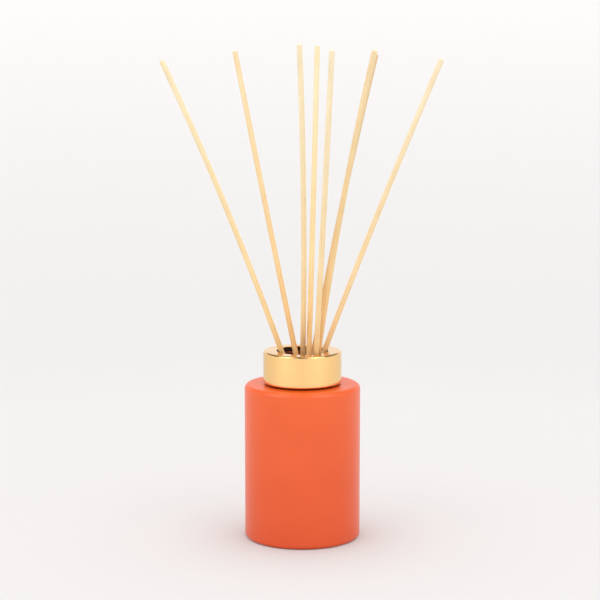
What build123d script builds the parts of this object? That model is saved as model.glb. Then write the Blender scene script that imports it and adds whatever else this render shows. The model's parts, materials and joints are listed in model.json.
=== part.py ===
from build123d import *
import os
from math import cos, radians, sin

# Reed diffuser: a coated glass bottle, a gold screw collar with an open top, and reeds that stand in it.
# The origin is the centre of the bottle's base, +Z is up and -Y is the front. All sizes are in mm.

# Bottle
bottle_diameter = 58.0
shoulder_height = 78.0
base_thickness = 6.5
wall_thickness = 3.4
shoulder_thickness = 3.6
heel_radius = 2.0
shoulder_radius = 2.3
cavity_floor_radius = 1.0
cavity_shoulder_radius = 4.0

# Neck, which stands on the shoulder
neck_height = 14.2
neck_bore_diameter = 24.0
neck_wall = 3.3
neck_root_radius = 0.8
lip_radius = 0.7

# Screw thread between the neck and the insert
thread_pitch = 3.2
thread_turns = 1.25
thread_depth = 1.15
thread_root_width = 1.7
thread_crest_width = 0.8
thread_start = 6.0
thread_embed = 0.2
thread_clearance = 0.3

# Collar: a drawn metal shell with a plastic insert bonded inside it
insert_wall = 2.2
insert_top_thickness = 1.0
insert_hole_step = 0.15
insert_skirt_inset = 0.8
shell_thickness = 0.6
shell_hole_step = 0.85
shell_edge_radius = 1.2
shell_rim_radius = 0.2
shell_foot_radius = 0.55
collar_gap = 0.9
bond_gap = 0.05

# Sealing washer between the neck's lip and the insert
washer_thickness = 1.0
washer_hole_step = 0.4
washer_clearance = 0.4

# Reeds
nominal_reed_diameter = 2.8
reed_length = 250.0
reed_floor_gap = 0.02
reed_bend_above_collar = 2.2

# Each reed's straight lower part runs from its foot, on the cavity's floor, to the mouth, which is the level
# of the collar's top. Both points are given as an angle in degrees about the bottle's axis, 0 towards +X and
# 90 towards the back, and as a share of the radius there: the cavity's at the foot, the collar hole's at the
# mouth. Above the collar the reed bends sideways by the fifth value, in degrees, positive towards +X. The
# last value is how far its cut length differs from the nominal one.
reed_stances = (
    # foot angle, foot share, mouth angle, mouth share, bend, trim
    (9, 0.801, -168, 0.837, -5.0, -1.5),
    (-51, 0.934, -173, 0.284, 0.7, -4.5),
    (93, 0.934, 73, 0.066, -3.2, -2.0),
    (-89, 0.934, -43, 0.346, -0.4, -5.0),
    (82, 0.699, -52, 0.860, -0.5, -2.0),
    (98, 0.820, -34, 0.751, 4.9, 0.0),
    (-116, 0.930, 42, 0.626, 3.5, -1.0),
    (149, 0.934, 5, 0.875, 2.3, 0.0),
)

# The crossing reeds stay clear of each other while they are no thicker than these shares of the collar
# hole's radius and of the cavity's radius.
reed_room_in_hole = 0.226
reed_room_in_cavity = 0.1135

# Derived sizes
bottle_radius = bottle_diameter / 2
cavity_radius = bottle_radius - wall_thickness
cavity_top = shoulder_height - shoulder_thickness
neck_bore_radius = neck_bore_diameter / 2
neck_radius = neck_bore_radius + neck_wall
neck_top = shoulder_height + neck_height
insert_bore_radius = neck_radius + thread_depth + thread_clearance
insert_radius = insert_bore_radius + insert_wall
shell_bore_radius = insert_radius + bond_gap
shell_radius = shell_bore_radius + shell_thickness
shell_hole_radius = neck_bore_radius + shell_hole_step
insert_hole_radius = shell_hole_radius + insert_hole_step
washer_bore_radius = insert_hole_radius + washer_hole_step
washer_radius = insert_bore_radius - washer_clearance
washer_top = neck_top + washer_thickness
insert_top = washer_top + insert_top_thickness
shell_underside = insert_top + bond_gap
collar_top = shell_underside + shell_thickness
shell_inner_radius = shell_edge_radius - shell_thickness
insert_edge_radius = shell_inner_radius - bond_gap
collar_bottom = shoulder_height + collar_gap
insert_bottom = collar_bottom + insert_skirt_inset
reed_room = min(reed_room_in_hole * shell_hole_radius, reed_room_in_cavity * cavity_radius)
reed_radius = min(nominal_reed_diameter, reed_room) / 2


def corner(sketch, radius, height):
    """The corner of a half section that lies at this radius and height."""
    return sketch.vertices().sort_by_distance((radius, height))[0]


def ring_point(radius, angle, height):
    """A point at this radius, angle about the bottle's axis and height."""
    return Vector(radius * cos(radians(angle)), radius * sin(radians(angle)), height)


def ridge_outline(reach):
    """A thread ridge's section: from just inside its wall, where x is 0, to its crest. A negative reach
    points towards the bottle's axis."""
    embed = -thread_embed if reach > 0 else thread_embed
    return (
        (embed, -thread_root_width / 2),
        (reach, -thread_crest_width / 2),
        (reach, thread_crest_width / 2),
        (embed, thread_root_width / 2),
    )


def thread_ridge(wall_radius, reach, start_height):
    """A right-hand thread ridge on a round wall."""
    with BuildPart() as ridge:
        with BuildLine() as helix:
            Helix(thread_pitch, thread_pitch * thread_turns, wall_radius, center=(0, 0, start_height))
        with BuildSketch(Plane(origin=helix.line @ 0, x_dir=(1, 0, 0), z_dir=(0, -1, 0))):
            with BuildLine():
                Polyline(*ridge_outline(reach), close=True)
            make_face()
        sweep(path=helix.line, is_frenet=True)
    return ridge.part


# The two ridges are made first. In the screwed-down collar the insert's ridge lies half a pitch below the
# neck's, in its groove.
thread_base = shoulder_height + thread_start
neck_ridge = thread_ridge(neck_radius, thread_depth, thread_base)
insert_ridge = thread_ridge(insert_bore_radius, -thread_depth, thread_base - thread_pitch / 2)

os.makedirs("parts", exist_ok=True)


# Glass bottle: half its section turned about the axis, with the thread ridge on its neck
with BuildPart() as glass_bottle:
    with BuildSketch(Plane.XZ) as bottle_section:
        with BuildLine():
            Polyline(
                (0, 0),
                (bottle_radius, 0),
                (bottle_radius, shoulder_height),
                (neck_radius, shoulder_height),
                (neck_radius, neck_top),
                (neck_bore_radius, neck_top),
                (neck_bore_radius, cavity_top),
                (cavity_radius, cavity_top),
                (cavity_radius, base_thickness),
                (0, base_thickness),
                close=True,
            )
        make_face()
        fillet(corner(bottle_section, bottle_radius, 0), heel_radius)
        fillet(corner(bottle_section, bottle_radius, shoulder_height), shoulder_radius)
        fillet(corner(bottle_section, neck_radius, shoulder_height), neck_root_radius)
        fillet(corner(bottle_section, neck_radius, neck_top), lip_radius)
        fillet(corner(bottle_section, neck_bore_radius, neck_top), lip_radius)
        fillet(corner(bottle_section, neck_bore_radius, cavity_top), lip_radius)
        fillet(corner(bottle_section, cavity_radius, cavity_top), cavity_shoulder_radius)
        fillet(corner(bottle_section, cavity_radius, base_thickness), cavity_floor_radius)
    revolve(axis=Axis.Z)
    add(neck_ridge)
glass_bottle.part.label = "glass_bottle"
export_step(glass_bottle.part, "parts/glass_bottle.step")


# Sealing washer: a flat ring on the neck's lip
with BuildPart() as sealing_washer:
    with BuildSketch(Plane.XY.offset(neck_top)):
        Circle(washer_radius)
        Circle(washer_bore_radius, mode=Mode.SUBTRACT)
    extrude(amount=washer_thickness)
sealing_washer.part.label = "sealing_washer"
export_step(sealing_washer.part, "parts/sealing_washer.step")


# Threaded insert: a cup with an open top, which clamps the washer and grips the neck's thread
with BuildPart() as threaded_insert:
    with BuildSketch(Plane.XZ) as insert_section:
        with BuildLine():
            Polyline(
                (insert_hole_radius, insert_top),
                (insert_radius, insert_top),
                (insert_radius, insert_bottom),
                (insert_bore_radius, insert_bottom),
                (insert_bore_radius, washer_top),
                (insert_hole_radius, washer_top),
                close=True,
            )
        make_face()
        fillet(corner(insert_section, insert_radius, insert_top), insert_edge_radius)
    revolve(axis=Axis.Z)
    add(insert_ridge)
threaded_insert.part.label = "threaded_insert"
export_step(threaded_insert.part, "parts/threaded_insert.step")


# Collar shell: drawn from sheet over the insert, with a round hole in its top
with BuildPart() as collar_shell:
    with BuildSketch(Plane.XZ) as shell_section:
        with BuildLine():
            Polyline(
                (shell_hole_radius, collar_top),
                (shell_radius, collar_top),
                (shell_radius, collar_bottom),
                (shell_bore_radius, collar_bottom),
                (shell_bore_radius, shell_underside),
                (shell_hole_radius, shell_underside),
                close=True,
            )
        make_face()
        fillet(corner(shell_section, shell_radius, collar_top), shell_edge_radius)
        fillet(corner(shell_section, shell_bore_radius, shell_underside), shell_inner_radius)
        fillet(corner(shell_section, shell_hole_radius, collar_top), shell_rim_radius)
        fillet(corner(shell_section, shell_radius, collar_bottom), shell_foot_radius)
    revolve(axis=Axis.Z)
collar_shell.part.label = "collar_shell"
export_step(collar_shell.part, "parts/collar_shell.step")


# Reeds: each a round square-cut stick, straight to just above the collar and gently bent from there on
for number, stance in enumerate(reed_stances, start=1):
    foot_angle, foot_share, mouth_angle, mouth_share, bend, trim = stance
    mouth = ring_point(shell_hole_radius * mouth_share, mouth_angle, collar_top)
    floor_point = ring_point(cavity_radius * foot_share, foot_angle, base_thickness)
    lean = (mouth - floor_point).get_angle(Vector(0, 0, 1))
    foot = floor_point + Vector(0, 0, reed_floor_gap + reed_radius * sin(radians(lean)))
    axis = (mouth - foot).normalized()
    straight_length = (mouth - foot).length + reed_bend_above_collar
    bend_start = foot + axis * straight_length
    bend_radius = (reed_length + trim - straight_length) / radians(abs(bend))
    bend_side = (Vector(1, 0, 0) - axis * axis.X).normalized() * (1 if bend > 0 else -1)
    bend_axis = Axis(bend_start + bend_side * bend_radius, axis.cross(bend_side))
    with BuildPart() as reed:
        with BuildSketch(Plane(origin=foot, z_dir=axis)):
            Circle(reed_radius)
        extrude(amount=straight_length)
        with BuildSketch(Plane(origin=bend_start, z_dir=axis)):
            Circle(reed_radius)
        revolve(axis=bend_axis, revolution_arc=abs(bend))
    reed.part.label = f"reed_{number}"
    export_step(reed.part, f"parts/reed_{number}.step")
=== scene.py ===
import json
from math import atan, cos, exp, pi, radians, sin, sqrt, tan

import bpy
import numpy as np
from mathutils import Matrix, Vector, noise


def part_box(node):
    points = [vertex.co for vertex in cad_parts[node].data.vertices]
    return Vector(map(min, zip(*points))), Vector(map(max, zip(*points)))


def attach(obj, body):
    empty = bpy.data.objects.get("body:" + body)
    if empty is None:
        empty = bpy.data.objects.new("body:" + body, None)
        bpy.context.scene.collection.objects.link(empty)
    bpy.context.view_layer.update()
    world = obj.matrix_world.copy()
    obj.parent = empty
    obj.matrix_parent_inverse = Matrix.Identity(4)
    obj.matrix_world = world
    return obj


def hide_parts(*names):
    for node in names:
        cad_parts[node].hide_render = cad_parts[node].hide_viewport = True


# Reed diffuser, in metres: +Z is up, -Y is the front, and the bottle stands on the origin.
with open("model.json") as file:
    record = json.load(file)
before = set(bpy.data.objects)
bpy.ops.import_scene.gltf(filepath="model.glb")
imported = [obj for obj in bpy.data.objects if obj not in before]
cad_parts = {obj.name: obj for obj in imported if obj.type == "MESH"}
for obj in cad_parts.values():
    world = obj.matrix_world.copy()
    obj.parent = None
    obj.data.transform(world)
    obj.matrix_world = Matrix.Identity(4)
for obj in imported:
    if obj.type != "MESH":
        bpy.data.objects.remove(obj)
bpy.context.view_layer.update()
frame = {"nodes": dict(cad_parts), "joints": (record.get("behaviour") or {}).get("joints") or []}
mm = 0.001

# Closer than this counts as the same place
touch = 1e-7

# Sizes that the frame gives
bottle_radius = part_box("glass_bottle")[1].x
neck_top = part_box("glass_bottle")[1].z
shell_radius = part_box("collar_shell")[1].x
collar_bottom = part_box("collar_shell")[0].z
collar_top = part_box("collar_shell")[1].z

# Bottle
collar_gap = 0.9 * mm
shoulder_height = collar_bottom - collar_gap
heel_radius = 2.0 * mm
shoulder_radius = 2.3 * mm
wall_thickness = 3.4 * mm
shoulder_thickness = 3.6 * mm
cavity_radius = bottle_radius - wall_thickness
cavity_floor = 6.5 * mm
cavity_floor_radius = 1.0 * mm
cavity_top = shoulder_height - shoulder_thickness
cavity_shoulder_radius = 4.0 * mm
neck_radius = 15.3 * mm
neck_bore_radius = 12.0 * mm
neck_root_radius = 0.8 * mm
lip_radius = 0.7 * mm
coat_ripple = 0.02 * mm
coat_ripple_length = 22 * mm

# Bottle's underside: a shallow push-up inside a knurled ring
push_up = 0.9 * mm
push_up_radius = 20.5 * mm
ring_inner_radius = 23.5 * mm
ring_edge_radius = 1.5 * mm
knurl_inner_radius = 24.4 * mm
knurl_outer_radius = 26.9 * mm
knurl_count = 48
knurl_depth = 0.12 * mm

# Neck thread. Its ridge runs out over a share of its length at each end, to a share of its height.
thread_pitch = 3.2 * mm
thread_turns = 1.25
thread_depth = 1.15 * mm
thread_root_width = 1.7 * mm
thread_crest_width = 0.8 * mm
thread_start = 6.0 * mm
thread_embed = 0.2 * mm
thread_run_out = 0.1
thread_end_share = 0.05

# Collar shell
shell_thickness = 0.6 * mm
shell_edge_radius = 1.2 * mm
shell_rim_radius = 0.2 * mm
shell_foot_radius = 0.55 * mm
shell_hole_step = 0.85 * mm
shell_hole_radius = neck_bore_radius + shell_hole_step
shell_ripple = 0.006 * mm
shell_ripple_length = 9 * mm

# Reeds. Their flutes twist slowly, by this many radians a metre.
reed_radius = 1.4 * mm
reed_bend_above_collar = 2.2 * mm
groove_depth = 0.07 * mm
fine_groove_length = 60 * mm
broad_groove_length = 35 * mm
groove_twist = 1.5
unevenness = 0.05 * mm
unevenness_length = 18 * mm
pore_depth = 0.16 * mm
pore_spacing = 0.42 * mm
tip_rounding = 0.3 * mm

# Each reed's colour, from reed_1 to reed_8: some are paler, some are yellower or redder; reed_7's darker tint
# is painted shade, for the shadow it stands in behind reed_5 and reed_6
reed_tints_and_shade = (
    (1.0, 0.97, 0.9),
    (0.97, 0.87, 0.76),
    (1.0, 1.0, 1.0),
    (1.0, 0.96, 0.88),
    (1.0, 1.0, 1.0),
    (0.96, 0.87, 0.74),
    # reed_7: painted shade, darker for the shadow behind reed_5 and reed_6
    (0.8, 0.66, 0.5),
    (1.0, 0.97, 0.95),
)

# How finely round pieces are divided
lathe_segments = 192
stage_segments = 96
reed_segments = 40
reed_ring_spacing = 2.0 * mm


# ---- Mesh helpers ----

def rounded_outline(corners, steps=8, support=0.12 * mm):
    """A line through corners, each (radius, height, rounding). A rounded corner becomes an arc, with one more
    point just past each end of it, which keeps the flat stretches flat in smooth shading."""
    points = []
    for i, (radius, height, rounding) in enumerate(corners):
        corner = Vector((radius, height))
        if not rounding:
            points.append(corner)
            continue
        to_last = (Vector(corners[i - 1][:2]) - corner).normalized()
        to_next = (Vector(corners[(i + 1) % len(corners)][:2]) - corner).normalized()
        half = to_last.angle(to_next) / 2
        reach = rounding / tan(half)
        centre = corner + (to_last + to_next).normalized() * rounding / sin(half)
        start = corner + to_last * reach - centre
        end = corner + to_next * reach - centre
        turn = start.angle(end)
        points.append(corner + to_last * (reach + support))
        for step in range(steps + 1):
            share = step / steps
            arm = start * sin((1 - share) * turn) / sin(turn) + end * sin(share * turn) / sin(turn)
            points.append(centre + arm)
        points.append(corner + to_next * (reach + support))
    return points


def add_levels(points, spacing):
    """The same line with more points wherever two are further apart than the spacing."""
    fuller = []
    for a, b in zip(points, points[1:]):
        count = max(1, round((b - a).length / spacing))
        fuller += [a.lerp(b, k / count) for k in range(count)]
    return fuller + [points[-1]]


def piece(name, vertices, faces, materials, face_materials=None):
    """A smooth-shaded mesh object from points, faces and materials."""
    mesh = bpy.data.meshes.new(name)
    mesh.from_pydata([tuple(v) for v in vertices], [], faces)
    for material in materials:
        mesh.materials.append(material)
    if face_materials is not None:
        mesh.polygons.foreach_set("material_index", face_materials)
    mesh.polygons.foreach_set("use_smooth", [True] * len(mesh.polygons))
    mesh.validate()
    mesh.update()
    obj = bpy.data.objects.new(name, mesh)
    bpy.context.scene.collection.objects.link(obj)
    return obj


def lathe(profile, segments, closed, shape=None):
    """Vertices and faces of a profile turned about the axis, and the stretch of the profile that each face
    came from. A piece's profile runs with its material on the left, so that its faces look outwards. The
    shape function may move a point: it gets the point's index, angle, radius and height."""
    vertices, rings = [], []
    for index, (radius, height) in enumerate(profile):
        if radius < touch:
            rings.append([len(vertices)])
            vertices.append((0, 0, height))
            continue
        rings.append(list(range(len(vertices), len(vertices) + segments)))
        for k in range(segments):
            angle = 2 * pi * k / segments
            r, z = shape(index, angle, radius, height) if shape else (radius, height)
            vertices.append((r * cos(angle), r * sin(angle), z))
    faces, levels = [], []
    pairs = list(zip(rings, rings[1:])) + ([(rings[-1], rings[0])] if closed else [])
    for level, (low, high) in enumerate(pairs):
        for k in range(segments):
            n = (k + 1) % segments
            if len(low) == 1:
                faces.append((low[0], high[n], high[k]))
            elif len(high) == 1:
                faces.append((low[k], low[n], high[0]))
            else:
                faces.append((low[k], low[n], high[n], high[k]))
            levels.append(level)
    return vertices, faces, levels


# ---- Materials ----

def new_material(name, roughness, metallic=0.0):
    """A material, its nodes and links, and its one Principled shader."""
    material = bpy.data.materials.new(name)
    material.use_nodes = True
    nodes, links = material.node_tree.nodes, material.node_tree.links
    shader = nodes["Principled BSDF"]
    shader.inputs["Roughness"].default_value = roughness
    shader.inputs["Metallic"].default_value = metallic
    shader.inputs["IOR"].default_value = 1.5
    return material, nodes, links, shader


def noise_node(nodes, links, source, scale, detail=3.0, roughness=0.55, stretch=(1, 1, 1)):
    """A noise texture on a coordinate output, stretched along its axes."""
    mapping = nodes.new("ShaderNodeMapping")
    mapping.inputs["Scale"].default_value = stretch
    texture = nodes.new("ShaderNodeTexNoise")
    texture.inputs["Scale"].default_value = scale
    texture.inputs["Detail"].default_value = detail
    texture.inputs["Roughness"].default_value = roughness
    links.new(source, mapping.inputs["Vector"])
    links.new(mapping.outputs["Vector"], texture.inputs["Vector"])
    return texture.outputs["Fac"]


def ramp_node(nodes, links, source, stops):
    """A colour ramp on a value. Each stop is (position, colour)."""
    ramp = nodes.new("ShaderNodeValToRGB")
    while len(ramp.color_ramp.elements) < len(stops):
        ramp.color_ramp.elements.new(0.5)
    for element, (position, colour) in zip(ramp.color_ramp.elements, stops):
        element.position = position
        element.color = (*colour, 1)
    links.new(source, ramp.inputs["Fac"])
    return ramp.outputs["Color"]


def range_node(nodes, links, source, low, high, from_low=0.3, from_high=0.7):
    """A value mapped from one range to another."""
    mapped = nodes.new("ShaderNodeMapRange")
    for socket, value in zip(("From Min", "From Max", "To Min", "To Max"), (from_low, from_high, low, high)):
        mapped.inputs[socket].default_value = value
    links.new(source, mapped.inputs["Value"])
    return mapped.outputs["Result"]


def multiply_colours(nodes, links, a, b, amount=1.0):
    """Two colours multiplied, where an amount under 1 keeps more of the first."""
    mix = nodes.new("ShaderNodeMix")
    mix.data_type = "RGBA"
    mix.blend_type = "MULTIPLY"
    mix.inputs["Factor"].default_value = amount
    links.new(a, mix.inputs["A"])
    links.new(b, mix.inputs["B"])
    return mix.outputs["Result"]


def height_of(nodes, links, source):
    """The third component of a vector output."""
    split = nodes.new("ShaderNodeSeparateXYZ")
    links.new(source, split.inputs["Vector"])
    return split.outputs["Z"]


def bump_node(nodes, links, height, strength, distance, shader):
    """A bump from a height, linked to the shader."""
    bump = nodes.new("ShaderNodeBump")
    bump.inputs["Strength"].default_value = strength
    bump.inputs["Distance"].default_value = distance
    links.new(height, bump.inputs["Height"])
    links.new(bump.outputs["Normal"], shader.inputs["Normal"])


def coated_glass_material():
    """Matt orange spray coat: a fine peel in the surface, faint clouds in its colour and sheen, and painted
    shade that makes the coat darker and redder low on the wall."""
    material, nodes, links, shader = new_material("coated_glass", 0.3)
    where = nodes.new("ShaderNodeTexCoord").outputs["Object"]
    clouds = noise_node(nodes, links, where, 45)
    cloud_tone = ramp_node(nodes, links, clouds, ((0.3, (0.96, 0.93, 0.92)), (0.7, (1, 1, 1))))
    # Painted shade: darker and redder towards the bottom of the wall, lighter towards the shoulder
    height = range_node(nodes, links, height_of(nodes, links, where), 0, 1, 0, shoulder_height)
    painted_low_shade = ramp_node(nodes, links, height, ((0.05, (0.78, 0.088, 0.011)), (0.95, (0.88, 0.118, 0.013))))
    shade = multiply_colours(nodes, links, painted_low_shade, cloud_tone)
    specks = noise_node(nodes, links, where, 2600, detail=1)
    speckle = ramp_node(nodes, links, specks, ((0.35, (0.96, 0.95, 0.94)), (0.65, (1, 1, 1))))
    links.new(multiply_colours(nodes, links, shade, speckle), shader.inputs["Base Color"])
    links.new(range_node(nodes, links, clouds, 0.285, 0.33), shader.inputs["Roughness"])
    peel = noise_node(nodes, links, where, 1500, detail=2)
    bump_node(nodes, links, peel, 0.12, 0.02 * mm, shader)
    return material


def bare_glass_material():
    """The inside of the bottle: bare glass over the back of the orange coat, darkened as painted shade."""
    material, nodes, links, shader = new_material("bare_glass", 0.15)
    where = nodes.new("ShaderNodeTexCoord").outputs["Object"]
    clouds = noise_node(nodes, links, where, 120)
    # Painted shade: the coat's back is made a dark red-brown for the shade inside the neck
    shade = ramp_node(nodes, links, clouds, ((0.3, (0.12, 0.016, 0.004)), (0.7, (0.17, 0.024, 0.006))))
    links.new(shade, shader.inputs["Base Color"])
    ripple = noise_node(nodes, links, where, 160, detail=1)
    bump_node(nodes, links, ripple, 0.2, 0.1 * mm, shader)
    return material


def gold_material():
    """Bright anodised aluminium: fine lathe lines round the axis and a slightly cloudy polish."""
    material, nodes, links, shader = new_material("gold_metal", 0.14, metallic=1.0)
    where = nodes.new("ShaderNodeTexCoord").outputs["Object"]
    clouds = noise_node(nodes, links, where, 90)
    shade = ramp_node(nodes, links, clouds, ((0.3, (0.97, 0.61, 0.258)), (0.7, (0.99, 0.625, 0.268))))
    links.new(shade, shader.inputs["Base Color"])
    lines = noise_node(nodes, links, where, 60, detail=4, roughness=0.7, stretch=(0.6, 0.6, 90))
    links.new(range_node(nodes, links, lines, 0.1, 0.17), shader.inputs["Roughness"])
    bump_node(nodes, links, lines, 0.06, 0.01 * mm, shader)
    return material


def dark_plastic_material():
    """Black moulded plastic with a fine spark-eroded texture."""
    material, nodes, links, shader = new_material("dark_plastic", 0.5)
    where = nodes.new("ShaderNodeTexCoord").outputs["Object"]
    grain = noise_node(nodes, links, where, 1800, detail=2)
    shade = ramp_node(nodes, links, grain, ((0.3, (0.008, 0.006, 0.005)), (0.7, (0.02, 0.016, 0.014))))
    links.new(shade, shader.inputs["Base Color"])
    links.new(range_node(nodes, links, grain, 0.42, 0.58), shader.inputs["Roughness"])
    bump_node(nodes, links, grain, 0.3, 0.03 * mm, shader)
    return material


def washer_material():
    """Black closed-cell foam."""
    material, nodes, links, shader = new_material("washer_foam", 0.85)
    where = nodes.new("ShaderNodeTexCoord").outputs["Object"]
    cells = nodes.new("ShaderNodeTexVoronoi")
    cells.inputs["Scale"].default_value = 2600
    links.new(where, cells.inputs["Vector"])
    tones = ((0.1, (0.008, 0.008, 0.008)), (0.6, (0.03, 0.028, 0.026)))
    shade = ramp_node(nodes, links, cells.outputs["Distance"], tones)
    links.new(shade, shader.inputs["Base Color"])
    bump_node(nodes, links, cells.outputs["Distance"], 0.5, 0.05 * mm, shader)
    return material


def rattan_material():
    """Peeled rattan: lengthwise fibres, darker pores in short streaks, and a warmer, darker tone towards the
    bottle, partly the oil that the reed soaks up and partly a painted reflection of the gold collar. The
    grain attribute holds a point round the reed in x and y, and the way along it in z. The tint_and_shade
    attribute holds the reed's own tint, and painted shade on reed_7."""
    material, nodes, links, shader = new_material("rattan", 0.62)
    grain = nodes.new("ShaderNodeAttribute")
    grain.attribute_name = "grain"
    where = grain.outputs["Vector"]
    longest_reed = 250 * mm
    along = range_node(nodes, links, height_of(nodes, links, where), 0, 1, 0, longest_reed)
    # Warmer and darker towards the foot: the soaked-up oil, and a painted reflection of the gold collar just
    # above it
    tones = (
        (0.0, (0.8, 0.46, 0.19)),
        (0.34, (0.97, 0.64, 0.3)),
        (0.5, (0.98, 0.76, 0.43)),
        (0.75, (0.98, 0.84, 0.55)),
        (1.0, (0.98, 0.88, 0.64)),
    )
    tone = ramp_node(nodes, links, along, tones)
    fibres = noise_node(nodes, links, where, 2600, detail=4, roughness=0.65, stretch=(1, 1, 0.02))
    fibre_tone = ramp_node(nodes, links, fibres, ((0.35, (0.9, 0.85, 0.78)), (0.62, (1, 1, 1))))
    streaks = noise_node(nodes, links, where, 5200, detail=2, stretch=(1, 1, 0.06))
    streak_tone = ramp_node(nodes, links, streaks, ((0.3, (0.78, 0.66, 0.5)), (0.42, (1, 1, 1))))
    patches = noise_node(nodes, links, where, 60, detail=2)
    patch_tone = ramp_node(nodes, links, patches, ((0.3, (0.93, 0.9, 0.86)), (0.7, (1, 1, 1))))
    colour = multiply_colours(nodes, links, tone, fibre_tone, amount=0.8)
    colour = multiply_colours(nodes, links, colour, streak_tone, amount=0.5)
    colour = multiply_colours(nodes, links, colour, patch_tone)
    # Each reed's own tint, with painted shade on reed_7
    tint_and_shade = nodes.new("ShaderNodeAttribute")
    tint_and_shade.attribute_name = "tint_and_shade"
    colour = multiply_colours(nodes, links, colour, tint_and_shade.outputs["Color"])
    links.new(colour, shader.inputs["Base Color"])
    links.new(range_node(nodes, links, fibres, 0.7, 0.52), shader.inputs["Roughness"])
    bump_node(nodes, links, fibres, 0.5, 0.05 * mm, shader)
    return material


def backdrop_material():
    """Pale studio paper, a little lighter where it rises, as painted light."""
    material, nodes, links, shader = new_material("backdrop", 0.9)
    where = nodes.new("ShaderNodeTexCoord").outputs["Object"]
    # Painted light: the paper grows lighter up to this height, for the backdrop being more brightly lit as it
    # rises
    lightest_height = 0.3
    height = range_node(nodes, links, height_of(nodes, links, where), 0, 1, 0, lightest_height)
    tone = ramp_node(nodes, links, height, ((0.0, (0.69, 0.682, 0.68)), (1.0, (0.83, 0.818, 0.815))))
    fibres = noise_node(nodes, links, where, 400, detail=3)
    fibre_tone = ramp_node(nodes, links, fibres, ((0.3, (0.99, 0.99, 0.99)), (0.7, (1, 1, 1))))
    links.new(multiply_colours(nodes, links, tone, fibre_tone), shader.inputs["Base Color"])
    shader.inputs["Specular IOR Level"].default_value = 0.2
    return material


coated_glass = coated_glass_material()
bare_glass = bare_glass_material()
gold_metal = gold_material()
dark_plastic = dark_plastic_material()
washer_foam = washer_material()
rattan = rattan_material()


# ---- Bottle ----

def make_bottle():
    """The coated bottle: a knurled ring to stand on, a shallow push-up in it, straight walls and the neck."""
    outside = rounded_outline(
        (
            (0, push_up, 0),
            (push_up_radius, push_up, ring_edge_radius),
            (ring_inner_radius, 0, ring_edge_radius),
            (bottle_radius, 0, heel_radius),
            (bottle_radius, shoulder_height, shoulder_radius),
            (neck_radius, shoulder_height, neck_root_radius),
            (neck_radius, neck_top, lip_radius),
            (neck_bore_radius, neck_top, 0),
        )
    )
    outside = add_levels(outside[:-1], 4 * mm)
    inside = rounded_outline(
        (
            (neck_radius, neck_top, 0),
            (neck_bore_radius, neck_top, lip_radius),
            (neck_bore_radius, cavity_top, lip_radius),
            (cavity_radius, cavity_top, cavity_shoulder_radius),
            (cavity_radius, cavity_floor, cavity_floor_radius),
            (0, cavity_floor, 0),
        )
    )
    inside = add_levels(inside[1:], 6 * mm)
    profile = outside + inside

    def shape(index, angle, radius, height):
        """Knurls the standing ring and ripples the outer wall a little."""
        if index >= len(outside):
            return radius, height
        if height < touch and knurl_inner_radius < radius < knurl_outer_radius:
            return radius, knurl_depth * (0.5 + 0.5 * cos(knurl_count * angle))
        if radius > bottle_radius - touch:
            wave = noise.noise((3 * cos(angle), 3 * sin(angle), height / coat_ripple_length))
            return radius - coat_ripple * (0.5 + 0.5 * wave), height
        return radius, height

    vertices, faces, levels = lathe(profile, lathe_segments, closed=False, shape=shape)
    bare = [1 if level >= len(outside) else 0 for level in levels]
    bottle = piece("bottle", vertices, faces, [coated_glass, bare_glass], bare)
    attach(bottle, "bottle")
    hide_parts("glass_bottle")


def make_neck_thread():
    """The ridge round the neck, which runs out at both ends."""
    steps = 90
    vertices, faces = [], []
    for step in range(steps + 1):
        share = step / steps
        angle = 2 * pi * thread_turns * share
        height = shoulder_height + thread_start + thread_pitch * thread_turns * share
        fade = min(1.0, share / thread_run_out, (1 - share) / thread_run_out)
        crest = thread_depth * (thread_end_share + (1 - thread_end_share) * fade * fade * (3 - 2 * fade))
        lower_half = [
            (-thread_embed, -thread_root_width / 2),
            (0.85 * crest, -0.575 * thread_crest_width),
            (crest, -0.35 * thread_crest_width),
        ]
        upper_half = [(reach, -rise) for reach, rise in reversed(lower_half)]
        for reach, rise in lower_half + upper_half:
            radius = neck_radius + reach
            vertices.append((radius * cos(angle), radius * sin(angle), height + rise))
    sides = 6
    for step in range(steps):
        for k in range(sides):
            a, b = sides * step + k, sides * step + (k + 1) % sides
            faces.append((a, a + sides, b + sides, b))
    faces.append(tuple(range(sides)))
    faces.append(tuple(reversed(range(sides * steps, sides * (steps + 1)))))
    thread = piece("neck_thread", vertices, faces, [coated_glass])
    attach(thread, "bottle")


# ---- Collar ----

def make_collar_shell():
    """The gold shell: a drawn cup with a rounded top edge, a softened hole's rim and a rolled lower edge."""
    inner_radius = shell_radius - shell_thickness
    underside = collar_top - shell_thickness
    profile = rounded_outline(
        (
            (shell_hole_radius, underside, shell_rim_radius),
            (inner_radius, underside, shell_edge_radius - shell_thickness),
            (inner_radius, collar_bottom, 0),
            (shell_radius, collar_bottom, shell_foot_radius),
            (shell_radius, collar_top, shell_edge_radius),
            (shell_hole_radius, collar_top, shell_rim_radius),
        ),
        support=0.05 * mm,
    )
    profile = add_levels(profile, 1.5 * mm)

    def shape(index, angle, radius, height):
        """Takes the drawn metal a hair out of round."""
        wave = noise.noise((4 * cos(angle), 4 * sin(angle), height / shell_ripple_length))
        return radius - shell_ripple * (0.5 + 0.5 * wave), height

    vertices, faces, _ = lathe(profile, lathe_segments, closed=True, shape=shape)
    shell = piece("collar", vertices, faces, [gold_metal])
    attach(shell, "collar")
    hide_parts("collar_shell")


# ---- Reeds ----

def flat_end(node, direction):
    """The centre of the flat end of a CAD node that faces this way."""
    mesh = frame["nodes"][node].data
    area, centre = 0, Vector()
    for polygon in mesh.polygons:
        if polygon.normal.dot(direction) > 0.8:
            area += polygon.area
            centre += polygon.center * polygon.area
    return centre / area


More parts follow.
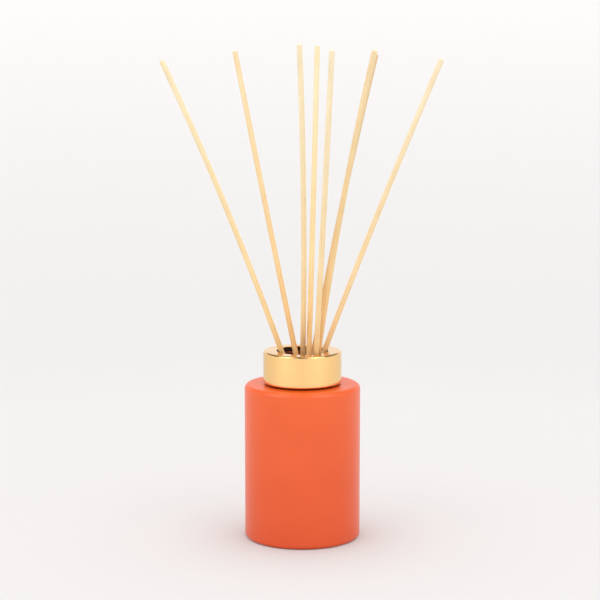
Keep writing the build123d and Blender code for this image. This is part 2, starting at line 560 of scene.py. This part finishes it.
def reed_line(number):
    """A reed's centre-line and its length. The line is a function of the way along the reed: a straight run
    on its joint's axis, then an arc that ends at its tip."""
    node = f"reed_{number}"
    joint = next(joint for joint in frame["joints"] if joint["child"] == node)
    axis = Vector(joint["axis"]).normalized()
    foot = flat_end(node, -axis)
    tip = flat_end(node, axis)
    straight = (collar_top - foot.z) / axis.z + reed_bend_above_collar
    bend_start = foot + axis * straight
    along = (tip - bend_start).dot(axis)
    aside = tip - bend_start - axis * along
    side = aside.normalized()
    bend = 2 * atan(aside.length / along)
    bend_radius = along / sin(bend)

    def line(s):
        """The point and the direction at this way along the reed."""
        if s <= straight:
            return foot + axis * s, axis
        angle = (s - straight) / bend_radius
        point = bend_start + axis * bend_radius * sin(angle) + side * bend_radius * (1 - cos(angle))
        return point, axis * cos(angle) + side * sin(angle)

    return line, straight + bend_radius * bend


def make_reed(number, tint_and_shade):
    """A reed: a fluted rod with a softly rounded, porous cut at each end."""
    line, length = reed_line(number)
    seed = 17.0 * number
    end_ways = [tip_rounding * k / 3 for k in (0, 0.5, 1.2, 2, 3)]
    middle_ways = np.linspace(2 * tip_rounding, length - 2 * tip_rounding, int(length / reed_ring_spacing))
    ways = end_ways + list(middle_ways) + [length - way for way in reversed(end_ways)]
    cut_shares = (0.12, 0.3, 0.48, 0.64, 0.8, 0.93)
    vertices, grain, rings = [], [], []
    sideways = Vector((0, 1, 0))

    def edge_radius(s):
        """The rod's radius, rounded off at its ends and a little uneven along it."""
        near = min(s, length - s)
        if near < tip_rounding:
            drop = tip_rounding - sqrt(tip_rounding**2 - (tip_rounding - near) ** 2)
        else:
            drop = 0
        uneven = 0.5 + 0.5 * noise.noise((seed, s / unevenness_length, 2.0))
        return reed_radius - drop - unevenness * uneven

    def groove(s, angle):
        """How deep the flutes are here, from 0 to 1."""
        turning = angle + s * groove_twist
        fine = noise.noise((3.2 * cos(turning) + seed, 3.2 * sin(turning), s / fine_groove_length))
        broad = noise.noise((1.1 * cos(turning), 1.1 * sin(turning) + seed, s / broad_groove_length))
        return min(1, max(0, 0.45 - 0.9 * fine - 0.5 * broad))

    def add_ring(s, radius_share=1.0, sink=None):
        """A ring of points at this way along the reed, moved along it where a sink is given."""
        point, direction = line(s)
        x = (sideways - direction * sideways.dot(direction)).normalized()
        y = direction.cross(x)
        rings.append(list(range(len(vertices), len(vertices) + reed_segments)))
        for k in range(reed_segments):
            angle = 2 * pi * k / reed_segments
            radius = (edge_radius(s) - groove_depth * groove(s, angle)) * radius_share
            out = x * cos(angle) + y * sin(angle)
            depth = sink(radius * cos(angle), radius * sin(angle)) if sink else 0
            vertices.append(point + out * radius + direction * depth)
            grain.append((radius * cos(angle), radius * sin(angle), s))

    def pores(sign):
        """A function for the pores in an end: how far a point of the cut moves along the reed."""

        def sink(x, y):
            cell = noise.voronoi((x / pore_spacing + seed, y / pore_spacing, sign))[0][0]
            return -sign * pore_depth * exp(-((cell / 0.3) ** 2))

        return sink

    for share in cut_shares:
        add_ring(0.0, share, pores(-1))
    for s in ways:
        add_ring(s)
    for share in reversed(cut_shares):
        add_ring(length, share, pores(1))
    faces = []
    for low, high in zip(rings, rings[1:]):
        for k in range(reed_segments):
            n = (k + 1) % reed_segments
            faces.append((low[k], low[n], high[n], high[k]))
    faces.append(tuple(reversed(rings[0])))
    faces.append(tuple(rings[-1]))
    reed = piece(f"reed_stick_{number}", vertices, faces, [rattan])
    attribute = reed.data.attributes.new("grain", "FLOAT_VECTOR", "POINT")
    attribute.data.foreach_set("vector", np.array(grain, np.float32).ravel())
    attribute = reed.data.attributes.new("tint_and_shade", "FLOAT_COLOR", "POINT")
    attribute.data.foreach_set("color", np.tile(np.array((*tint_and_shade, 1.0), np.float32), len(vertices)))
    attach(reed, f"reed_{number}")
    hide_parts(f"reed_{number}")


make_bottle()
make_neck_thread()
make_collar_shell()
for number, tint_and_shade in enumerate(reed_tints_and_shade, start=1):
    make_reed(number, tint_and_shade)

# The insert and the washer keep their CAD shape
for node, material in (("threaded_insert", dark_plastic), ("sealing_washer", washer_foam)):
    slots = frame["nodes"][node].data.materials
    slots.clear()
    slots.append(material)


# ---- Studio ----

def make_stage():
    """A pale floor that curves up on all sides into the backdrop."""
    flat_radius = 0.45
    curve_radius = 2.0
    rim_angle = 61
    flat_steps, curve_steps = 6, 30
    profile = [Vector((flat_radius * k / flat_steps, 0)) for k in range(flat_steps + 1)]
    for step in range(1, curve_steps + 1):
        angle = radians(rim_angle) * step / curve_steps
        profile.append(Vector((flat_radius + curve_radius * sin(angle), curve_radius * (1 - cos(angle)))))
    vertices, faces, _ = lathe(profile, stage_segments, closed=False)
    stage = piece("studio_sweep", vertices, faces, [backdrop_material()])


def add_soft_box(name, azimuth, distance, height, size, power, shows_in):
    """An area light that faces the object. Azimuth 0 is in front of it, in degrees, and positive is to the
    right. A light shows either on "surfaces" or in "gloss", and the camera sees neither kind."""
    data = bpy.data.lights.new(name, "AREA")
    data.shape = "RECTANGLE"
    data.size, data.size_y = size
    data.energy = power
    light = bpy.data.objects.new(name, data)
    bpy.context.scene.collection.objects.link(light)
    turn = radians(azimuth)
    light.location = (distance * sin(turn), -distance * cos(turn), height)
    aim = Vector((0, 0, 0.1))
    light.rotation_euler = (aim - light.location).to_track_quat("-Z", "Y").to_euler()
    light.visible_camera = False
    light.visible_glossy = shows_in == "gloss"
    light.visible_diffuse = shows_in == "surfaces"


def show_in_gloss_only(obj):
    """Hides this from the camera, diffuse, transmission and shadows: it lights nothing and shows only as a
    reflection.
    """
    obj.visible_camera = False
    obj.visible_diffuse = False
    obj.visible_transmission = False
    obj.visible_shadow = False


def glowing_material(name, brightness):
    """A black material that only glows, and its nodes, links and shader."""
    material, nodes, links, shader = new_material(name, 1.0)
    shader.inputs["Base Color"].default_value = (0, 0, 0, 1)
    shader.inputs["Specular IOR Level"].default_value = 0
    shader.inputs["Emission Color"].default_value = (1, 1, 1, 1)
    shader.inputs["Emission Strength"].default_value = brightness
    return material, nodes, links, shader


def make_gloss_card():
    """A low round card that only gloss shows, for the collar's side to mirror: brightest at the front left
    and the front right, and dimmest at the back."""
    card_radius, card_height = 0.42, 0.12
    brightest = 1.2
    brightness_round_card = (
        # share of a turn, from the left by way of the front, and brightness there
        (0, 0.96),
        (0.11, 1.18),
        (0.25, 1.03),
        (0.38, 1.18),
        (0.5, 0.98),
        (0.62, 0.88),
        (0.83, 0.79),
        (1, 0.96),
    )
    vertices, faces, _ = lathe([(card_radius, card_height), (card_radius, 0)], stage_segments, closed=False)
    material, nodes, links, shader = glowing_material("gloss_card", brightest)
    turn = nodes.new("ShaderNodeTexGradient")
    turn.gradient_type = "RADIAL"
    links.new(nodes.new("ShaderNodeTexCoord").outputs["Object"], turn.inputs["Vector"])
    stops = [(share, [brightness / brightest] * 3) for share, brightness in brightness_round_card]
    links.new(ramp_node(nodes, links, turn.outputs["Fac"], stops), shader.inputs["Emission Color"])
    show_in_gloss_only(piece("gloss_card", vertices, faces, [material]))


def make_gloss_ceiling():
    """A dim ceiling from the backdrop's rim up, which only gloss shows, so that the metal isn't black from
    above."""
    brightness = 0.3
    profile = [(2.4, 1.0), (1.6, 2.2), (0, 2.6)]
    vertices, faces, _ = lathe(profile, stage_segments, closed=False)
    material, *_ = glowing_material("gloss_ceiling", brightness)
    show_in_gloss_only(piece("gloss_ceiling", vertices, faces, [material]))


def light_studio():
    """Soft lights for the surfaces, two boxes for the collar's top edge to mirror, and a bright world."""
    soft_boxes = (
        # name, azimuth in degrees, distance, height, size, power in watts, what it shows in
        ("key_left", -47, 1.4, 1.1, (1.3, 0.8), 2.5, "surfaces"),
        ("key_right", 41, 1.4, 1.1, (1.3, 0.8), 2.5, "surfaces"),
        ("fill_top", 180, 0.2, 1.7, (1.4, 1.0), 5.8, "surfaces"),
        ("box_left", -62, 0.85, 1.1, (0.9, 1.1), 6, "gloss"),
        ("box_right", 56, 0.8, 1.1, (0.9, 1.1), 6, "gloss"),
    )
    for soft_box in soft_boxes:
        add_soft_box(*soft_box)
    world = bpy.data.worlds.new("studio")
    bpy.context.scene.world = world
    world.use_nodes = True
    background = world.node_tree.nodes["Background"]
    background.inputs["Color"].default_value = (1.0, 0.99, 0.985, 1)
    background.inputs["Strength"].default_value = 1.12
    world.cycles_visibility.glossy = False


def add_camera():
    """A long lens just above the reeds' tips, in front of the object and looking slightly down."""
    data = bpy.data.cameras.new("camera")
    data.lens = 108.15
    data.sensor_width = 36
    data.clip_start, data.clip_end = 0.01, 20
    camera = bpy.data.objects.new("camera", data)
    bpy.context.scene.collection.objects.link(camera)
    camera.location = (-0.0012, -0.888, 0.2533)
    camera.rotation_euler = (radians(81.48), 0, 0)
    bpy.context.scene.camera = camera


make_stage()
make_gloss_card()
make_gloss_ceiling()
light_studio()
add_camera()
bpy.context.scene.view_settings.view_transform = "Standard"
